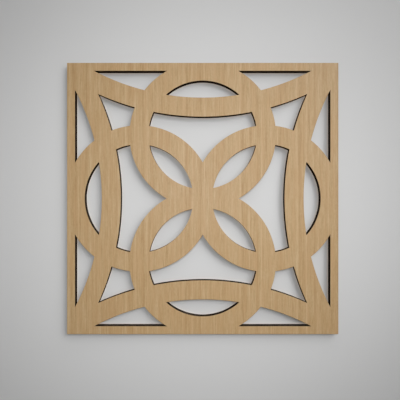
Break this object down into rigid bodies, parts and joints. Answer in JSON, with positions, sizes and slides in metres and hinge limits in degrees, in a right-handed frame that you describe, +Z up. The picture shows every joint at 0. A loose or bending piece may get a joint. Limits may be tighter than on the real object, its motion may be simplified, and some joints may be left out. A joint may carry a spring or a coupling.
{
  "type": "carved fretwork grille",
  "caption": "Square openwork wall panel sawn from one wooden sheet: a plain border, interlaced rings and corner-to-corner bows.",
  "frame": {"origin": "centre of the back face, on the plane of the wall that the panel is fixed to", "axes": "+Z up, -Y out of the front face towards the room, +Y into the wall, +X to the viewer's right"},
  "size_m": [0.3906, 0.0095, 0.3906],
  "materials": {
    "pale_wood": "unfinished straight-grained pale veneer, cut edges charred dark brown"
  },
  "bodies": {
    "root": {"fretwork_sheet": "pale_wood"}
  },
  "joints": []
}
